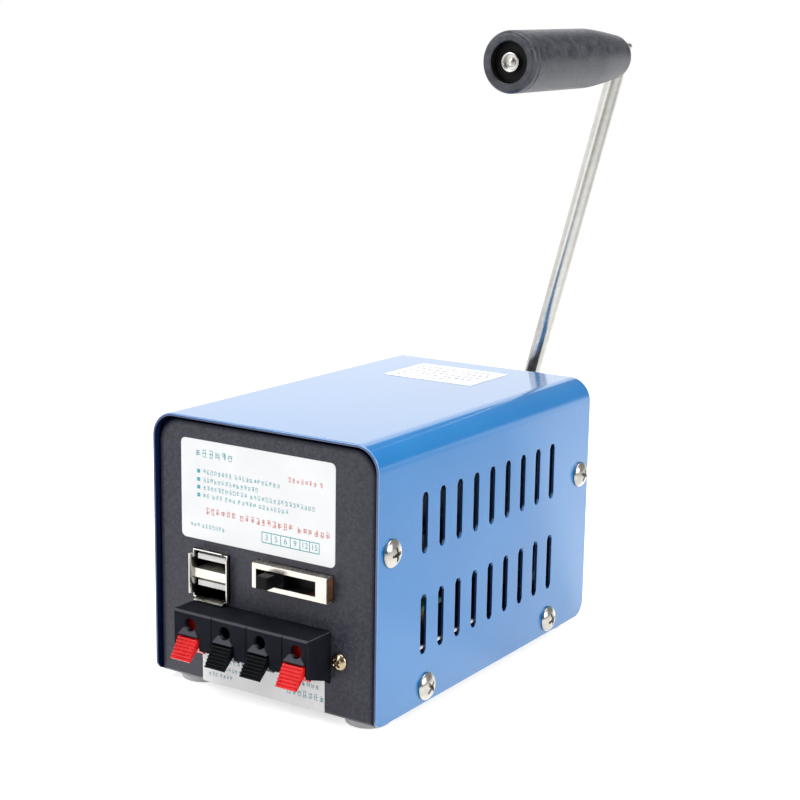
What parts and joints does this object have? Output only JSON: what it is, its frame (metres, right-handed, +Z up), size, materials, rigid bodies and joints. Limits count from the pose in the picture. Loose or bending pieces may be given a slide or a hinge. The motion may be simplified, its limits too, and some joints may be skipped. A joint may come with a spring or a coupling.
{
  "type": "hand crank phone charger",
  "caption": "Hand crank phone charger: vented steel case, crank with turning grip, gear train, generator, USB sockets, voltage slide switch and spring terminals.",
  "frame": {"origin": "point under the middle of the case, on the surface that the rubber feet stand on", "axes": "+Z up, -Y out of the front panel with the sockets, +X towards the right side seen from the front; the crank is at +Y"},
  "size_m": [0.0971, 0.1682, 0.2051],
  "materials": {
    "case_paint": "gloss enamel",
    "chassis_paint": "fine textured powder coat",
    "nickel_screws": "nickel plated",
    "foot_rubber": "matte",
    "socket_steel": "tin plated",
    "socket_plastic": "moulded",
    "contact_brass": "gold flashed",
    "switch_nickel": "nickel plated",
    "laminate": "phenolic laminate",
    "knob_plastic": "moulded",
    "terminal_plastic": "moulded",
    "red_plastic": "moulded",
    "black_plastic": "moulded",
    "board_laminate": "solder masked",
    "capacitor_sleeve": "shrink sleeve",
    "ferrite": "sintered",
    "copper_wire": "enamelled",
    "black_epoxy": "moulded",
    "heat_sink_metal": "extruded",
    "plate_steel": "zinc plated",
    "gear_steel": "cut",
    "bronze": "sintered",
    "magnet": "sintered",
    "carbon": "pressed carbon",
    "crank_steel": "bright plated",
    "grip_plastic": "moulded"
  },
  "bodies": {
    "casing": {"chassis": "chassis_paint", "cover": "case_paint", "cover_screws": "nickel_screws", "rubber_feet": "foot_rubber", "usb_shell": "socket_steel", "usb_divider": "socket_steel", "usb_insulator": "socket_plastic", "usb_contacts": "contact_brass", "switch_frame": "switch_nickel", "switch_base": "laminate", "switch_pins": "contact_brass", "selector_board": "board_laminate", "terminal_housing": "terminal_plastic", "terminal_contacts": "contact_brass", "terminal_screws": "nickel_screws", "circuit_board": "board_laminate", "board_standoffs": "contact_brass", "inner_screws": "nickel_screws", "capacitors": "capacitor_sleeve", "choke_core": "ferrite", "choke_winding": "copper_wire", "rectifier": "black_epoxy", "heat_sink": "heat_sink_metal", "regulator": "black_epoxy", "rear_gear_plate": "plate_steel", "front_gear_plate": "plate_steel", "gearbox_pillars": "plate_steel", "gearbox_screws": "nickel_screws", "crank_bushes": "bronze", "generator_can": "plate_steel", "generator_magnets": "magnet", "generator_end_cap": "black_plastic", "generator_brushes": "carbon"},
    "crank": {"crank_shaft": "gear_steel", "drive_gear": "gear_steel", "drive_gear_pin": "gear_steel", "crank_hub": "crank_steel", "hub_set_screws": "gear_steel", "crank_arm": "crank_steel", "grip_pin": "crank_steel", "grip_spacer": "crank_steel", "grip_nut": "nickel_screws"},
    "grip": {"grip": "grip_plastic"},
    "layshaft": {"layshaft": "gear_steel", "compound_gear": "gear_steel"},
    "rotor": {"rotor_shaft": "gear_steel", "rotor_core": "gear_steel", "rotor_windings": "copper_wire", "commutator": "copper_wire", "rotor_pinion": "bronze"},
    "slider": {"switch_slider": "knob_plastic"},
    "lever_1": {"terminal_lever_1": "red_plastic"},
    "lever_2": {"terminal_lever_2": "black_plastic"},
    "lever_3": {"terminal_lever_3": "black_plastic"},
    "lever_4": {"terminal_lever_4": "red_plastic"}
  },
  "joints": [
    {"name": "crank_turn", "type": "hinge", "parent": "casing", "child": "crank", "pos_m": [0, 0.0812, 0.0453], "axis": [0, 1, 0], "continuous": true},
    {"name": "grip_spin", "type": "hinge", "parent": "crank", "child": "grip", "pos_m": [0.04267, 0.03587, 0.1953], "axis": [0.0093, 0.9994, 0.0327], "continuous": true},
    {"name": "layshaft_turn", "type": "hinge", "parent": "casing", "child": "layshaft", "pos_m": [-0.01873, 0.045, 0.06216], "axis": [0, 1, 0], "continuous": true},
    {"name": "rotor_turn", "type": "hinge", "parent": "casing", "child": "rotor", "pos_m": [-0.01873, 0.02, 0.04396], "axis": [0, 1, 0], "continuous": true},
    {"name": "switch_slide", "type": "slide", "parent": "casing", "child": "slider", "axis": [1, 0, 0], "range_m": [-0.00346, 0.01384]},
    {"name": "lever_1_press", "type": "hinge", "parent": "casing", "child": "lever_1", "pos_m": [-0.0204, -0.072, 0.0202], "axis": [1, 0, 0], "range_deg": [0, 18], "stiffness_Nm_per_rad": 0.05, "springref_deg": -20.05},
    {"name": "lever_2_press", "type": "hinge", "parent": "casing", "child": "lever_2", "pos_m": [-0.007, -0.072, 0.0202], "axis": [1, 0, 0], "range_deg": [0, 18], "stiffness_Nm_per_rad": 0.05, "springref_deg": -20.05},
    {"name": "lever_3_press", "type": "hinge", "parent": "casing", "child": "lever_3", "pos_m": [0.0064, -0.072, 0.0202], "axis": [1, 0, 0], "range_deg": [0, 18], "stiffness_Nm_per_rad": 0.05, "springref_deg": -20.05},
    {"name": "lever_4_press", "type": "hinge", "parent": "casing", "child": "lever_4", "pos_m": [0.0198, -0.072, 0.0202], "axis": [1, 0, 0], "range_deg": [0, 18], "stiffness_Nm_per_rad": 0.05, "springref_deg": -20.05}
  ],
  "couplings": [
    {"joint": "layshaft_turn", "follows": "crank_turn", "ratio": -5},
    {"joint": "rotor_turn", "follows": "crank_turn", "ratio": 16.667}
  ]
}
